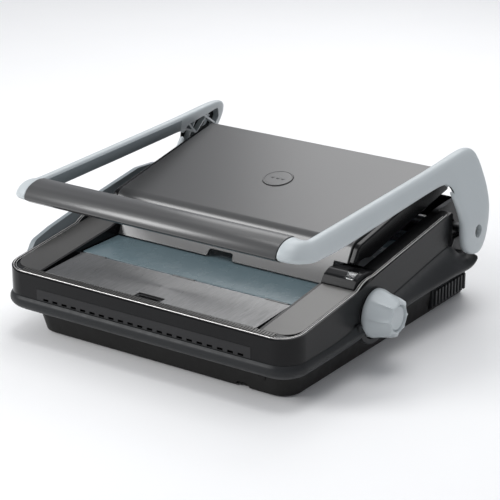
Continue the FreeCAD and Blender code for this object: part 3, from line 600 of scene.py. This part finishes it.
def belt_fittings():
    """The ring that the dial sits in, and the wall behind the belt."""
    pieces = []
    for side, word in ((1, "right"), (-1, "left")):
        lobe = rod("dial_collar_" + word, KNOB_AXIS, 38.0, side * 205.0, side * 216.0, 96)
        soften(lobe, 1.4)
        carve(lobe, rod("cut", KNOB_AXIS, 31.5, side * 200.0, side * 230.0, 96))
        over = [(90, 57.0), (122, 61.2), (233, 78.9), (233, 140), (90, 140)]
        carve(lobe, slab("cut", over, "X", side * 200.0, side * 230.0))
        pieces.append(finish_piece(lobe, "chassis", "grey_casing", smooth=30))
    wall = [(193.4, 352.0), (LEG_WALL, 352.0), (LEG_WALL, 434.0, 9), (186, 446.4, 9), (-186, 446.4, 9),
            (-LEG_WALL, 434.0, 9), (-LEG_WALL, 352.0), (-193.4, 352.0), (-193.4, 432, 6), (-184, 441, 6),
            (184, 441, 6), (193.4, 432, 6)]
    back = slab("rear_belt", wall, "Z", 56.0, 92.0)
    soften(back, 1.0)
    pieces.append(finish_piece(back, "chassis", "grey_casing"))
    for side, word in ((1, "right"), (-1, "left")):
        shelf = slab("side_shelf_" + word, [(side * 192.2, 351.0), (side * 211.5, 351.0), (side * 211.5, 362.0),
                                            (side * LEG_WALL, 392.0, 8), (side * LEG_WALL, 443), (side * 192.2, 443)],
                     "Z", 89.8, 92.0)
        pieces.append(finish_piece(soften(shelf, 0.6), "chassis", "grey_casing"))
    return pieces


# ---- upper mouldings ---------------------------------------------------------------------------
def upper_casing_piece():
    casing = traced("upper_casing", "casing_shell")
    return finish_piece(casing, "chassis", "gloss_black", ["upper_casing"], smooth=32)


def bead_path(inset, lift, rear):
    """Round the deck a little inside its edge, from the left rear to the right rear."""
    half, radius = BODY_HALF - inset, CORNER_R - inset
    plan = [(half, y) for y in (rear, 300, 240, 200, 186, 177, 168, 160, 153, 147, 139, 110, 70, CORNER_R)]
    plan += [(CORNER[0] + radius * math.cos(math.radians(turn)), CORNER[1] - radius * math.sin(math.radians(turn)))
             for turn in range(10, 91, 10)]
    right = [(x, y, deck_z(y) + lift) for x, y in plan]
    return [place(-x, y, z) for x, y, z in right] + [place(x, y, z) for x, y, z in reversed(right)]


def tube(name, path, radius):
    """A round bead along a row of places."""
    deselect()
    bpy.ops.curve.primitive_nurbs_path_add()
    piece = bpy.context.object
    piece.name = name
    curve = piece.data
    curve.splines.clear()
    spline = curve.splines.new("POLY")
    spline.points.add(len(path) - 1)
    for point, spot in zip(spline.points, path):
        point.co = (*spot, 1.0)
    curve.dimensions = "3D"
    curve.bevel_depth = radius
    curve.bevel_resolution = 3
    curve.use_fill_caps = True
    piece.location = (0, 0, 0)
    bpy.ops.object.convert(target="MESH")
    piece = bpy.context.object
    face_outwards(piece)
    return piece


def deck_pieces(sizes):
    # painted highlight: the deck's edge trim and a second line inside it are silver tubes that stand in for the gloss
    # highlights along the deck's edge
    outer = tube("deck_highlight_bead", bead_path(2.3, 0.1, 349.0), sizes.bead)
    finish_piece(outer, "chassis", "silver_edge", ["edge_trim"], smooth=60)
    inner = tube("deck_highlight_line", bead_path(5.2, -0.15, 345.0), sizes.bead * 0.55)
    finish_piece(inner, "chassis", "silver_edge", smooth=60)
    for word in ("left", "right"):
        inlay = soften(traced("deck_inlay_" + word, "inlay_" + word), 0.35, 2)
        finish_piece(inlay, "chassis", "deck_grey", ["deck_inlay_" + word])
    plate = traced("slot_plate", "slot_row_plate")
    finish_piece(plate, "chassis", "grey_casing", ["slot_plate"], finish=finish_of("slot_grey"))
    # the black shelf between the lid's side rails and the side panels
    for side, word in ((1, "right"), (-1, "left")):
        top = [(y, deck_z(y) - 2.4) for y in (186.5, 230.0, 290.0, 349.5)]
        under = [(y, z - 2.2) for y, z in reversed(top)]
        shelf = slab("deck_shelf_" + word, top + under, "X", side * 184.9, side * 209.8)
        finish_piece(shelf, "chassis", "gloss_black")
        edge = [(349.6, 93.0), (349.6, deck_z(349.6) - 2.4), (363.0, 137.4), (366.0, 134.0), (366.0, 93.0)]
        shoulder = slab("rear_shoulder_" + word, edge, "X", side * 193.6, side * 209.8)
        finish_piece(soften(shoulder, 0.5, 2), "chassis", "gloss_black")


HUMP = ((139.9, 100.6), (139.9, 106.0, 2.5), (147.0, 115.4, 7), (158.0, 119.4, 12), (172.0, 118.2, 10),
        (190.0, 112.9, 3), (190.0, 100.6))


def window_pieces():
    hump = slab("window_hump", HUMP, "X", 159.4, 205.2)
    soften(hump, 1.1, 4, angle=40)
    carve(hump, block("cut", (186.6, 200.0), (146.6, 163.4), (90, 130)))
    carve(hump, slab("cut", [(143, 90), (143, 104), (150, 111, 5), (168, 114, 8), (187, 109), (187, 90)],
                     "X", 162.0, 202.0))
    finish_piece(hump, "chassis", "gloss_black", ["window_housing"])
    lens = slab("number_lens", [(146.8, 104.0), (146.8, 115.2, 2), (155.0, 119.3, 10), (163.2, 119.7, 2),
                                (163.2, 104.0), (160.6, 104.0), (160.6, 116.0), (155.0, 115.8), (149.2, 112.6),
                                (149.2, 104.0)], "X", 186.8, 199.8)
    finish_piece(soften(lens, 0.5, 3), "chassis", "clear_window", ["window_lens"])


COVER = ((48, 54), (50, 82, 12), (64, 103, 16), (96, 111.5, 34), (186, 128.5, 44), (274, 142, 34),
         (314, 139.5, 20), (346, 119, 8), (350, 100.5), (317, 92.5), (233, 79), (122, 61.5), (98, 57.8))


def left_cover_piece():
    """The blue-grey cover on the left, with a broad soft edge."""
    cover = slab("left_cover", COVER, "X", -212.3, -222.0)
    edit(cover, "EDGE")
    bpy.ops.mesh.select_all(action="DESELECT")
    close_edit()
    outer = place(-222.0, 0, 0).x
    for edge in cover.data.edges:
        ends = [cover.data.vertices[i].co for i in edge.vertices]
        edge.select = all(abs(end.x - outer) < 1e-5 for end in ends)
    bpy.ops.object.mode_set(mode="EDIT")
    bpy.ops.mesh.bevel(offset=5.5 * MM, segments=6, profile=0.5, affect="EDGES")
    close_edit()
    finish_piece(cover, "chassis", "arm_grey", ["left_side_cover"], smooth=40, finish=finish_of("insert_grey"))
    ribs = []
    for y in range(196, 246, 6):
        low = between([(186, 122), (274, 136)], y)
        ribs.append(block("rib", (-220.5, -213.0), (y, y + 2.2), (low - 4, low + 3.2)))
    soften(join("left_cover_ribs", ribs), 0.5, 2)
    finish_piece(bpy.context.object, "chassis", "arm_grey")


# ---- lid -----------------------------------------------------------------------------------------
def lid_pieces(sizes):
    shell = soften(traced("lid_panel", "lid_shell"), sizes.lid_edge / MM)
    finish_piece(shell, "lid", "graphite_shell", ["lid_panel"], smooth=32)
    for word in ("left", "right"):
        rail = soften(traced("lid_trim_" + word, "lid_rail_" + word), sizes.rail_edge / MM, 5, angle=40)
        finish_piece(rail, "lid", "gloss_black", ["lid_trim_" + word])


def badge_piece():
    """A round badge with a thin rim and three plain studs."""
    low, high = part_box("lid_badge")
    centre, tilt = (low + high) / 2, math.atan2(high.z - low.z - 1.6 * MM, high.y - low.y)
    deselect()
    bpy.ops.mesh.primitive_cylinder_add(vertices=96, radius=19.4 * MM, depth=1.8 * MM)
    badge = bpy.context.object
    edit(badge, "FACE")
    bpy.ops.mesh.select_all(action="DESELECT")
    close_edit()
    for face in badge.data.polygons:
        face.select = face.normal.z > 0.9
    bpy.ops.object.mode_set(mode="EDIT")
    bpy.ops.mesh.inset(thickness=1.1 * MM, depth=0.0)
    bpy.ops.mesh.inset(thickness=0.5 * MM, depth=-0.55 * MM)
    bpy.ops.mesh.inset(thickness=4.0 * MM, depth=0.18 * MM)
    close_edit()
    soften(badge, 0.18, 2)
    studs = [badge]
    for x in (-7.5, 0.0, 7.5):
        bpy.ops.mesh.primitive_uv_sphere_add(segments=24, ring_count=12, radius=2.3 * MM,
                                             location=(x * MM, 0, 0.55 * MM))
        stud = bpy.context.object
        stud.scale = (1.0, 1.0, 0.35)
        bpy.ops.object.transform_apply(location=True, rotation=True, scale=True)
        studs.append(stud)
    badge = join("badge_disc", studs)
    turn = Matrix.Rotation(tilt, 4, "X")
    badge.data.transform(Matrix.Translation(centre) @ turn)
    return finish_piece(badge, "lid", "silver_edge", ["lid_badge"], finish=finish_of("graphite_shell"))


# ---- handle --------------------------------------------------------------------------------------
# the arm in side view: its lower or front edge, then its upper or rear edge, (y, z) each
ARM_STATIONS = (((64, 166.6), (62, 190.2)), ((100, 165.9), (98, 191.2)), ((150, 168.0), (147, 193.0)),
                ((200, 170.2), (197, 194.8)), ((250, 172.5), (247, 196.6)), ((300, 174.6), (298, 198.4)),
                ((334, 176.0), (342, 200.3)), ((352, 175.4), (382, 202.4)), ((360.0, 171.6), (414, 204.3)),
                ((364.0, 165.0), (436, 201.6)), ((365, 154.0), (445, 187.0)), ((365, 142.0), (445.0, 163.0)),
                ((365, 130.0), (439.0, 141.0)), ((364.6, 119.0), (431.0, 122.0)), ((364, 108.0), (426.0, 108.0)),
                ((365.4, 98.5), (423.8, 98.5)), ((370.0, 89.2), (419.2, 89.2)), ((377.6, 81.8), (411.6, 81.8)),
                ((387.0, 77.9), (402.2, 77.9)))
# the crossbar's section, (y, z), in the order of the arm's section: front, top, rear, underside
BAR_RING = ((11.2, 178.4), (13.6, 184.8), (18.4, 190.6), (29.0, 195.2), (44.5, 195.6), (53.6, 191.4),
            (56.8, 184.2), (54.2, 177.2), (44.0, 171.4), (22.0, 171.0))
TURN_CENTRE = (182.0, 59.0)          # the arms turn into the crossbar round this place in plan
LEAST_REACH = 1.5                    # keeps the crossbar's rear corner off that place
# depths of the arm's inner parts, measured inward from its outer face
POCKET_DEPTH = 4.2                   # floor of the elbow's hollow
RIB_DEPTHS = (13.0, 4.0)
INSERT_DEPTHS = (15.0, 12.0)
# the black plate in the elbow's hollow is painted shade, laid at these depths
SHADE_PLATE_DEPTHS = (5.2, 3.8)
FOOT_SCREW_RADIUS = 8.5
# inner parts are cut as slabs between these two places and then laid along the arm's face
SLAB_INNER, SLAB_OUTER = 150.0, 200.0


def arm_section(lower, upper, sizes):
    """Ten places round a leaning slab between its two edges, with rounded corners."""
    thick, edge = sizes.arm_thickness / MM, sizes.arm_edge / MM
    low, high = Vector(lower), Vector(upper)
    run = high - low
    reach = run.length
    steps = [(0.0, edge), (-0.5, reach / 2), (0.0, reach - edge), (edge, reach), (thick - edge, reach),
             (thick, reach - edge), (thick, reach / 2), (thick, edge), (thick - edge, 0.0), (edge, 0.0)]
    section = []
    for depth, along in steps:
        y, z = low + run * (along / reach)
        section.append((arm_face_x(z) - depth, y, z))
    return section


def corner_sections(first):
    """Sections that swing from the crossbar's own section to the arm's first one."""
    cx, cy = TURN_CENTRE
    sections = [[(BAR_END, y, z) for y, z in BAR_RING]]
    for degrees in (0, 12, 24, 36, 48, 60, 72, 84):
        sine, cosine = math.sin(math.radians(degrees)), math.cos(math.radians(degrees))
        section = []
        for (bar_y, bar_z), (arm_x, _, arm_z) in zip(BAR_RING, first):
            bar_reach, arm_reach = max(cy - bar_y, LEAST_REACH), arm_x - cx
            reach = ((sine / arm_reach) ** 3 + (cosine / bar_reach) ** 3) ** (-1 / 3)
            section.append((cx + reach * sine, cy - reach * cosine, bar_z + (arm_z - bar_z) * sine ** 2))
        sections.append(section)
    return sections


def lay_along_arm(piece, inner_depth, outer_depth):
    """Moves the inner and outer sides of a slab to set depths behind the arm's face."""
    split = place((SLAB_INNER + SLAB_OUTER) / 2, 0, 0).x
    for vertex in piece.data.vertices:
        depth = inner_depth if vertex.co.x < split else outer_depth
        vertex.co.x = place(arm_face_x(vertex.co.z / MM) - depth, 0, 0).x


def arm_piece(sizes):
    straight = [arm_section(lower, upper, sizes) for lower, upper in ARM_STATIONS]
    rings = corner_sections(straight[0]) + straight
    arm = loft("arm_shell_right", [[place(*spot) for spot in ring] for ring in rings], closed=True,
               caps=(True, True))
    face_outwards(arm)
    modify(arm, "SUBSURF", levels=2, render_levels=2)
    pocket = slab("cut", [(353, 184, 4), (421, 194, 6), (431, 178, 8), (421, 138, 6), (371, 134, 4), (370, 152, 8)],
                  "X", 160.0, SLAB_OUTER)
    outer = place(SLAB_OUTER, 0, 0).x - 1e-5
    for vertex in pocket.data.vertices:
        if vertex.co.x >= outer:
            vertex.co.x = place(arm_face_x(vertex.co.z / MM) - POCKET_DEPTH, 0, 0).x
    carve(arm, pocket)
    carve(arm, rod("cut", PIVOT, FOOT_SCREW_RADIUS, 222.0, 240.0, 64))
    return finish_piece(arm, "handle", "arm_grey", ["arm_right"], smooth=38, flat_faces=False)


def elbow_web():
    """Thin ribs that cross in the hollow of the elbow."""
    ribs = []
    runs = (((352, 180), (428, 148)), ((374, 190), (374, 134)), ((404, 194), (376, 136)), ((356, 188), (424, 138)),
            ((390, 191), (430, 168)))
    for (y0, z0), (y1, z1) in runs:
        along = Vector((y1 - y0, z1 - z0)).normalized()
        side = Vector((-along.y, along.x)) * 1.2
        outline = [(y0 + side.x, z0 + side.y), (y1 + side.x, z1 + side.y), (y1 - side.x, z1 - side.y),
                   (y0 - side.x, z0 - side.y)]
        rib = slab("rib", outline, "X", SLAB_INNER, SLAB_OUTER)
        lay_along_arm(rib, *RIB_DEPTHS)
        ribs.append(rib)
    web = join("elbow_ribs_right", ribs)
    return finish_piece(web, "handle", "arm_grey", smooth=30)


def insert_piece():
    """The darker plate on the inner face of an arm."""
    outline = [(66, 169.6, 3), (200, 173.6), (340, 179.4, 3), (338, 196.4, 3), (200, 191.6), (66, 187.0, 3)]
    plate = slab("insert", outline, "X", SLAB_INNER, SLAB_OUTER)
    edit(plate, "FACE")
    for y in range(80, 340, 20):
        bpy.ops.mesh.select_all(action="SELECT")
        bpy.ops.mesh.bisect(plane_co=place(0, y, 0), plane_no=(0, 1, 0))
    close_edit()
    lay_along_arm(plate, *INSERT_DEPTHS)
    soften(plate, 0.35, 2)
    plate.name = "insert_plate_right"
    return finish_piece(plate, "handle", "arm_grey", ["arm_insert_right"], finish=finish_of("insert_grey"))


def elbow_floor():
    """Black plate at the bottom of the elbow's hollow: painted shade, a dark sheet standing in for the shadow inside
    the hollow.
    """
    outline = [(354, 183, 4), (420, 193, 6), (430, 178, 8), (420, 139, 6), (372, 135, 4), (371, 152, 8)]
    floor = slab("elbow_floor_right", outline, "X", SLAB_INNER, SLAB_OUTER)
    lay_along_arm(floor, *SHADE_PLATE_DEPTHS)
    # gloss black here is painted shade for the hollow, not a moulding of its own
    return finish_piece(floor, "handle", "gloss_black")


def handle_pieces(sizes):
    for piece in (arm_piece(sizes), elbow_web(), elbow_floor(), insert_piece()):
        copy = mirror_copy(piece, piece.name.replace("right", "left"))
        if "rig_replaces" in copy:
            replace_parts(copy, *[node.replace("right", "left") for node in piece["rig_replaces"]])
            copy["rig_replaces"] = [node.replace("right", "left") for node in piece["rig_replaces"]]


def crossbar_pieces():
    upper = [(11.0, 178.0), (12.8, 184.8, 16), (20.0, 192.2, 16), (36.0, 196.8, 30), (50.5, 194.6, 8),
             (57.0, 184.0, 6), (56.2, 181.4), (52.0, 180.4), (20.0, 178.2)]
    lower = [(12.0, 177.3), (20.0, 177.6), (52.0, 179.6), (55.2, 180.2), (54.0, 176.2, 3), (44.0, 171.4, 8),
             (22.0, 171.0, 8)]
    top = soften(slab("crossbar_shell", upper, "X", -BAR_END + 0.3, BAR_END - 0.3), 0.5, 2, angle=50)
    finish_piece(top, "handle", "graphite_shell", ["crossbar_upper"], smooth=40, flat_faces=False)
    under = soften(slab("crossbar_under_shell", lower, "X", -BAR_END + 0.3, BAR_END - 0.3), 0.4, 2, angle=50)
    finish_piece(under, "handle", "graphite_shell", ["crossbar_lower"], smooth=40, finish=finish_of("gloss_black"))


# ---- dial ------------------------------------------------------------------------------------------
def dial_ring(x, radius, ridge, sizes):
    """A ring of the dial with narrow ridges standing out of it."""
    count = 96
    ring = []
    for i in range(count):
        turn = math.tau * i / count
        peak = max(0.0, math.cos(turn * sizes.dial_ridges + 0.6)) ** 6
        hollow = 0.5 - 0.5 * math.cos(turn * sizes.dial_ridges + 0.6)
        reach = radius + ridge * peak - ridge * 0.35 * hollow
        ring.append(place(x, KNOB_AXIS[0] + reach * math.cos(turn), KNOB_AXIS[1] + reach * math.sin(turn)))
    return ring


def dial_pieces(sizes):
    base, face, ridge = sizes.dial_base / MM, sizes.dial_face / MM, sizes.ridge_height / MM
    start = 213.2
    stations = ((0.0, base - 0.9, 0.0), (0.8, base, 0.0), (5.5, base, 0.0), (8.0, base - 0.6, 0.1),
                (14.0, base - 2.6, 0.35), (20.0, base - 4.7, 0.6), (26.0, base - 6.9, 0.85),
                (30.5, face + 0.9, 1.0), (32.6, face + 0.2, 1.0), (34.2, face - 0.9, 0.75),
                (34.8, face - 2.0, 0.4), (34.6, face - 2.9, 0.1), (32.6, face - 3.5, 0.0), (30.6, face - 4.2, 0.0))
    rings = [dial_ring(start + x, radius, ridge * share, sizes) for x, radius, share in stations]
    dial = loft("dial", rings, closed=True, caps=(True, True))
    face_outwards(dial)
    finish_piece(dial, "size_knob", "arm_grey", ["knob"], smooth=50, flat_faces=False)
    cap = rod("dial_cap", KNOB_AXIS, face - 5.2, start + 29.5, start + 32.6, 96)
    soften(cap, 0.9, 4)
    finish_piece(cap, "size_knob", "arm_grey", ["knob_cap"])
    bezel = rod("dial_bezel", KNOB_AXIS, 31.3, 206.0, 212.6, 96)
    finish_piece(soften(bezel, 0.7, 3), "chassis", "gloss_black", ["knob_bezel"])


def wheel_numbers():
    """Comb sizes in millimetres round the rim of the wheel under the lens."""
    marks = []
    band = rod("band", KNOB_AXIS, 29.85, 186.4, 193.6, 96)
    carve(band, rod("cut", KNOB_AXIS, 29.6, 180.0, 200.0, 96))
    finish_piece(band, "size_knob", "white_nylon")
    band.name = "wheel_band"
    for i, size in enumerate((6, 8, 10, 12, 14, 16, 19, 22, 25)):
        deselect()
        bpy.ops.object.text_add()
        text = bpy.context.object
        text.data.body = str(size)
        text.data.size = 6.4 * MM
        text.data.extrude = 0.06 * MM
        text.data.align_x, text.data.align_y = "CENTER", "CENTER"
        bpy.ops.object.convert(target="MESH")
        mark = bpy.context.object
        lift = Matrix.Translation((0, 0, 29.87 * MM))
        turn = Matrix.Rotation(math.tau * i / 9 - 0.35, 4, "X")
        mark.data.transform(Matrix.Translation(place(190.0, *KNOB_AXIS)) @ turn @ lift)
        marks.append(mark)
    numbers = join("wheel_numbers", marks)
    face_outwards(numbers)
    finish_piece(numbers, "size_knob", "rubber")


# ---- flap, drawer and small pieces -----------------------------------------------------------------
def flap_pieces():
    flap = traced("front_flap", "flap_plate")
    finish_piece(flap, "flap", "brushed_flap", ["front_flap"])
    latch = soften(traced("flap_latch", "finger_latch"), 0.6, 3)
    finish_piece(latch, "latch", "gloss_black", ["flap_latch"])


def drawer_pieces():
    grip = soften(traced("chip_tray_grip", "drawer_grip"), 0.7, 3)
    finish_piece(grip, "chip_drawer", "grey_casing", ["chip_tray_grip"])


def dress_carried_parts():
    """Gives each part that stays as it was built the finish of its slot."""
    for part in frame["record"]["subparts"]:
        node = frame["nodes"][part["node"]]
        if node.hide_render:
            continue
        node.data.materials.clear()
        node.data.materials.append(finish_of(part["material_slot"]))


# ---- stage ---------------------------------------------------------------------------------------
CAMERA_TURN, CAMERA_RISE = math.radians(34.6), math.radians(20.4)
CAMERA_REACH = 2204.8                # millimetres from the place that it looks at
CAMERA_AIM = (86.8, 100.0, 142.5)
CAMERA_LENS, CAMERA_SENSOR = 136.2, 36.0


def floor_material():
    paint = Paint("floor_paper", (0.93, 0.93, 0.93), 0.9)
    return paint.mottle(3, 0.01).material


def make_stage():
    deselect()
    bpy.ops.mesh.primitive_plane_add(size=30.0)
    floor = bpy.context.object
    floor.name = "floor"
    floor.data.materials.append(floor_material())
    back = Vector((math.sin(CAMERA_TURN) * math.cos(CAMERA_RISE), -math.cos(CAMERA_TURN) * math.cos(CAMERA_RISE),
                   math.sin(CAMERA_RISE)))
    bpy.ops.object.camera_add(location=place(*CAMERA_AIM) + back * CAMERA_REACH * MM)
    camera = bpy.context.object
    camera.rotation_mode = "QUATERNION"
    camera.rotation_quaternion = (-back).to_track_quat("-Z", "Y")
    camera.data.lens = CAMERA_LENS
    camera.data.sensor_width = CAMERA_SENSOR
    bpy.context.scene.camera = camera
    world = bpy.data.worlds.new("studio")
    world.use_nodes = True
    world.node_tree.nodes["Background"].inputs["Color"].default_value = (0.93, 0.95, 1.0, 1.0)
    world.node_tree.nodes["Background"].inputs["Strength"].default_value = 0.46
    bpy.context.scene.world = world
    # softboxes: place, where each looks, size and power
    boxes = (((-0.52, 1.4, 1.5), 1.2, 11.5), ((-1.5, -1.8, 1.5), 1.1, 38.0), ((0.2, 0.1, 2.3), 1.3, 17.0))
    for spot, size, power in boxes:
        bpy.ops.object.light_add(type="AREA", location=spot)
        light = bpy.context.object
        light.data.shape = "SQUARE"
        light.data.size = size
        light.data.energy = power
        light.rotation_mode = "QUATERNION"
        light.rotation_quaternion = (Vector((0, 0, 0.05)) - Vector(spot)).to_track_quat("-Z", "Y")
    bpy.context.scene.view_settings.view_transform = "Standard"


# ---- add-on --------------------------------------------------------------------------------------
class BuildOperator(bpy.types.Operator):
    """Base of the operators that make pieces."""
    bl_options = {"REGISTER", "UNDO"}

    def execute(self, context):
        self.make(context.scene.binder_sizes)
        return {"FINISHED"}


class BINDER_OT_lower(BuildOperator):
    """Lower tub, belt and wings, with the collars and the rear wall"""
    bl_idname, bl_label = "binder.lower", "Base and Belt"

    def make(self, sizes):
        base_tub_piece()
        belt_piece(sizes)
        belt_fittings()


class BINDER_OT_upper(BuildOperator):
    """Black upper casing, deck inlays and beads"""
    bl_idname, bl_label = "binder.upper", "Upper Casing and Deck"

    def make(self, sizes):
        upper_casing_piece()
        deck_pieces(sizes)


class BINDER_OT_window(BuildOperator):
    """Hump with the clear number window"""
    bl_idname, bl_label = "binder.window", "Number Window"

    def make(self, sizes):
        window_pieces()


class BINDER_OT_cover(BuildOperator):
    """Blue-grey cover on the left side"""
    bl_idname, bl_label = "binder.cover", "Left Cover"

    def make(self, sizes):
        left_cover_piece()


class BINDER_OT_lid(BuildOperator):
    """Lid with its side rails and badge"""
    bl_idname, bl_label = "binder.lid", "Lid"

    def make(self, sizes):
        lid_pieces(sizes)
        badge_piece()


class BINDER_OT_handle(BuildOperator):
    """Both arms of the handle, with their ribs and plates, and the crossbar"""
    bl_idname, bl_label = "binder.handle", "Handle"

    def make(self, sizes):
        handle_pieces(sizes)
        crossbar_pieces()


class BINDER_OT_dial(BuildOperator):
    """Size dial, its cap and collar, and the numbers on its wheel"""
    bl_idname, bl_label = "binder.dial", "Dial"

    def make(self, sizes):
        dial_pieces(sizes)
        wheel_numbers()


class BINDER_OT_flap(BuildOperator):
    """Brushed flap, its finger latch and the drawer's grip"""
    bl_idname, bl_label = "binder.flap", "Flap and Drawer"

    def make(self, sizes):
        flap_pieces()
        drawer_pieces()


class BINDER_OT_finishes(BuildOperator):
    """Finishes for the parts that stay as they were built"""
    bl_idname, bl_label = "binder.finishes", "Finishes"

    def make(self, sizes):
        dress_carried_parts()


class BINDER_OT_stage(BuildOperator):
    """Pale floor, soft light and the camera"""
    bl_idname, bl_label = "binder.stage", "Stage"

    def make(self, sizes):
        make_stage()


STEPS = (BINDER_OT_lower, BINDER_OT_upper, BINDER_OT_window, BINDER_OT_cover, BINDER_OT_lid, BINDER_OT_handle,
         BINDER_OT_dial, BINDER_OT_flap, BINDER_OT_finishes, BINDER_OT_stage)


class BINDER_PT_panel(bpy.types.Panel):
    """Lists the steps in the order that they run"""
    bl_label = "Comb Binder"
    bl_idname = "BINDER_PT_panel"
    bl_space_type = "VIEW_3D"
    bl_region_type = "UI"
    bl_category = "Comb Binder"

    def draw(self, context):
        for step in STEPS:
            self.layout.operator(step.bl_idname)
        for group in (context.scene.binder_sizes, context.scene.binder_colours):
            box = self.layout.box()
            for name in group.bl_rna.properties.keys():
                if name not in ("rna_type", "name"):
                    box.prop(group, name)


CLASSES = (BinderColours, BinderSizes, *STEPS, BINDER_PT_panel)


def register():
    for cls in CLASSES:
        bpy.utils.register_class(cls)
    bpy.types.Scene.binder_sizes = PointerProperty(type=BinderSizes)
    bpy.types.Scene.binder_colours = PointerProperty(type=BinderColours)


def unregister():
    del bpy.types.Scene.binder_colours
    del bpy.types.Scene.binder_sizes
    for cls in reversed(CLASSES):
        bpy.utils.unregister_class(cls)


def main():
    register()
    for step in STEPS:
        group, name = step.bl_idname.split(".")
        getattr(getattr(bpy.ops, group), name)()
    deselect()


if __name__ == "__main__":
    main()
